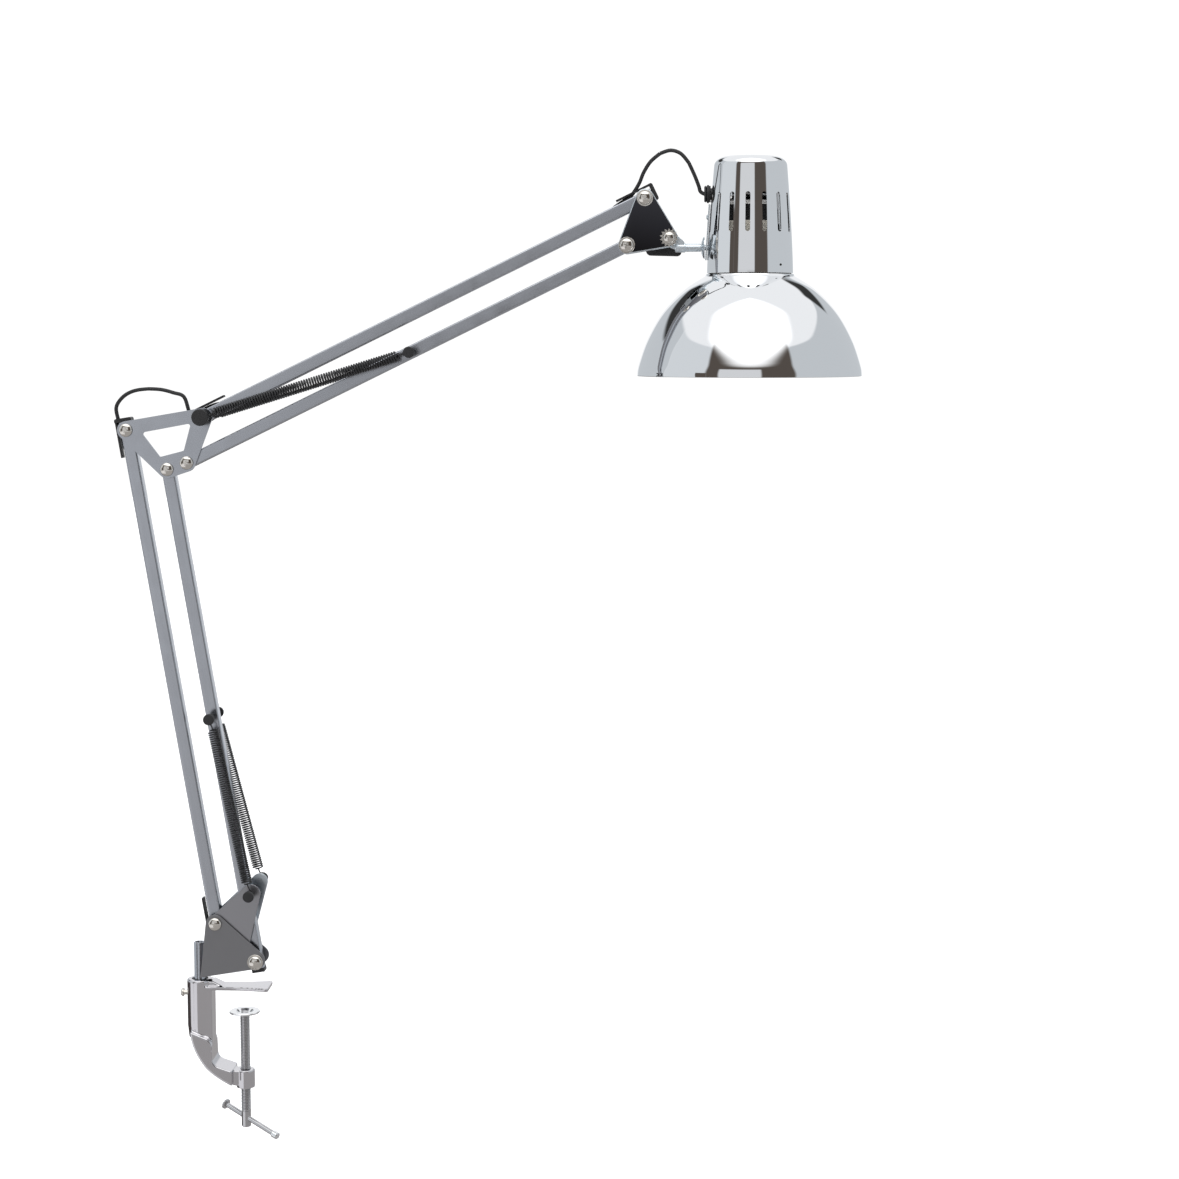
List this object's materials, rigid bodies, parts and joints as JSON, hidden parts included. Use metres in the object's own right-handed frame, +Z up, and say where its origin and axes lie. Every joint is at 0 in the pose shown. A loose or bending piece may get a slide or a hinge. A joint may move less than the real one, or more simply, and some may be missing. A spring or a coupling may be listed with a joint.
{
  "type": "architect desk lamp",
  "caption": "Clamp-on architect desk lamp with two spring-balanced parallelogram arms of square tube, a chromed swivelling bell shade and a screw table clamp",
  "frame": {"origin": "on the underside of the clamp's fixed jaw, above the axis of the clamp screw", "axes": "+X along the arms from the clamp towards the shade, +Y away from the front, +Z up"},
  "size_m": [0.5853, 0.1748, 0.7847],
  "materials": {
    "bright_chrome": "mirror chrome plate",
    "satin_tube": "satin silver-grey metal",
    "grey_plate": "darker grey pressed sheet",
    "bright_zinc": "bright bluish zinc plate",
    "nickel_fastener": "nickel-plated fasteners",
    "black_plastic": "black moulded plastic, fine grain",
    "spring_black": "black spring wire",
    "cord_sheath": "black round cord",
    "holder_ceramic": "off-white moulded lampholder"
  },
  "bodies": {
    "clamp": {"clamp_body": "bright_chrome", "socket_bush": "black_plastic", "clamp_set_screw": "nickel_fastener"},
    "clamp_pad": {"pressure_pad": "bright_chrome"},
    "clamp_spindle": {"clamp_screw": "nickel_fastener"},
    "tommy": {"tommy_bar": "nickel_fastener", "tommy_bar_collar": "bright_chrome"},
    "base": {"base_post": "satin_tube", "base_bracket": "grey_plate", "spring_anchor_front": "grey_plate", "spring_anchor_back": "bright_zinc", "anchor_pin_front": "black_plastic", "anchor_pin_back": "black_plastic", "base_left_screw": "nickel_fastener", "base_left_nut": "nickel_fastener", "base_right_screw": "nickel_fastener", "base_right_nut": "nickel_fastener"},
    "lower_main": {"lower_left_tube": "satin_tube", "lower_left_guide_bottom": "black_plastic", "lower_left_guide_top": "black_plastic", "lamp_cord": "cord_sheath"},
    "lower_follower": {"lower_right_tube": "satin_tube", "lower_right_plug_bottom": "black_plastic", "lower_right_plug_top": "black_plastic", "lower_spring_pin": "black_plastic", "lower_spring_front": "spring_black", "lower_spring_back": "spring_black"},
    "elbow": {"elbow_plate": "satin_tube", "elbow_left_screw": "nickel_fastener", "elbow_left_nut": "nickel_fastener", "elbow_middle_screw": "nickel_fastener", "elbow_middle_nut": "nickel_fastener", "elbow_right_screw": "nickel_fastener", "elbow_right_nut": "nickel_fastener", "elbow_knob_pin": "black_plastic", "upper_spring_front": "spring_black", "upper_spring_back": "spring_black"},
    "upper_main": {"upper_top_tube": "satin_tube", "upper_top_guide_elbow": "black_plastic", "upper_top_guide_head": "black_plastic"},
    "upper_follower": {"upper_bottom_tube": "satin_tube", "upper_bottom_plug_elbow": "black_plastic", "upper_spring_pin": "black_plastic"},
    "head_mount": {"head_bracket": "bright_chrome", "head_top_screw": "nickel_fastener", "head_top_nut": "nickel_fastener", "head_bottom_screw": "nickel_fastener", "head_bottom_nut": "nickel_fastener", "tilt_screw": "nickel_fastener", "star_washer": "nickel_fastener"},
    "wing": {"wing_nut": "black_plastic"},
    "tilt": {"tilt_stub": "bright_zinc", "swivel_nut": "nickel_fastener"},
    "shade_head": {"swivel_washer": "bright_zinc", "mounting_strip": "bright_zinc", "cord_grip": "black_plastic", "socket_cap": "bright_chrome", "lampholder": "holder_ceramic", "lampholder_ring": "holder_ceramic", "shade": "bright_chrome"}
  },
  "joints": [
    {"name": "clamp_travel", "type": "slide", "parent": "clamp", "child": "clamp_pad", "axis": [0, 0, 1], "range_m": [-0.044, 0.017]},
    {"name": "clamp_screw_turn", "type": "hinge", "parent": "clamp_pad", "child": "clamp_spindle", "pos_m": [0, 0, -0.06], "axis": [0, 0, 1], "range_deg": [-12700, 4920]},
    {"name": "tommy_bar_slide", "type": "slide", "parent": "clamp_spindle", "child": "tommy", "axis": [0.8171, -0.4968, -0.2924], "range_m": [-0.024, 0.016]},
    {"name": "base_swivel", "type": "hinge", "parent": "clamp", "child": "base", "pos_m": [-0.0358, 0, 0], "axis": [0, 0, 1], "continuous": true},
    {"name": "lower_arm", "type": "hinge", "parent": "base", "child": "lower_main", "pos_m": [-0.021, 0, 0.0545], "axis": [0, -1, 0], "range_deg": [-62, 16], "deforming": ["lower_spring_front", "lower_spring_back"]},
    {"name": "lower_arm_link", "type": "hinge", "parent": "base", "child": "lower_follower", "pos_m": [0.0109, 0, 0.02385], "axis": [0, -1, 0], "range_deg": [-62.5, 16.5]},
    {"name": "elbow_level", "type": "hinge", "parent": "lower_main", "child": "elbow", "pos_m": [-0.08541, 0, 0.44827], "axis": [0, -1, 0], "range_deg": [-16.5, 62.5]},
    {"name": "upper_arm", "type": "hinge", "parent": "elbow", "child": "upper_main", "pos_m": [-0.02401, 0, 0.45882], "axis": [0, -1, 0], "range_deg": [-65, 20], "deforming": ["upper_spring_front", "upper_spring_back", "lamp_cord"]},
    {"name": "upper_arm_link", "type": "hinge", "parent": "elbow", "child": "upper_follower", "pos_m": [-0.03791, 0, 0.42282], "axis": [0, -1, 0], "range_deg": [-65.5, 20.5]},
    {"name": "head_level", "type": "hinge", "parent": "upper_main", "child": "head_mount", "pos_m": [0.32086, 0, 0.62724], "axis": [0, -1, 0], "range_deg": [-20.5, 65.5]},
    {"name": "shade_tilt", "type": "hinge", "parent": "head_mount", "child": "tilt", "pos_m": [0.33956, 0, 0.59679], "axis": [0, -1, 0], "range_deg": [-30, 45]},
    {"name": "shade_swivel", "type": "hinge", "parent": "tilt", "child": "shade_head", "pos_m": [0.36, 0, 0.58949], "axis": [1, 0, 0], "range_deg": [-90, 90]},
    {"name": "wing_nut_turn", "type": "hinge", "parent": "head_mount", "child": "wing", "pos_m": [0.33956, 0, 0.59679], "axis": [0, -1, 0], "range_deg": [-120, 120]}
  ],
  "couplings": [
    {"joint": "clamp_screw_turn", "follows": "clamp_travel", "rad_per_m": 5026.5},
    {"joint": "lower_arm_link", "follows": "lower_arm", "ratio": 1},
    {"joint": "elbow_level", "follows": "lower_arm", "ratio": -1},
    {"joint": "upper_arm_link", "follows": "upper_arm", "ratio": 1},
    {"joint": "head_level", "follows": "upper_arm", "ratio": -1}
  ]
}
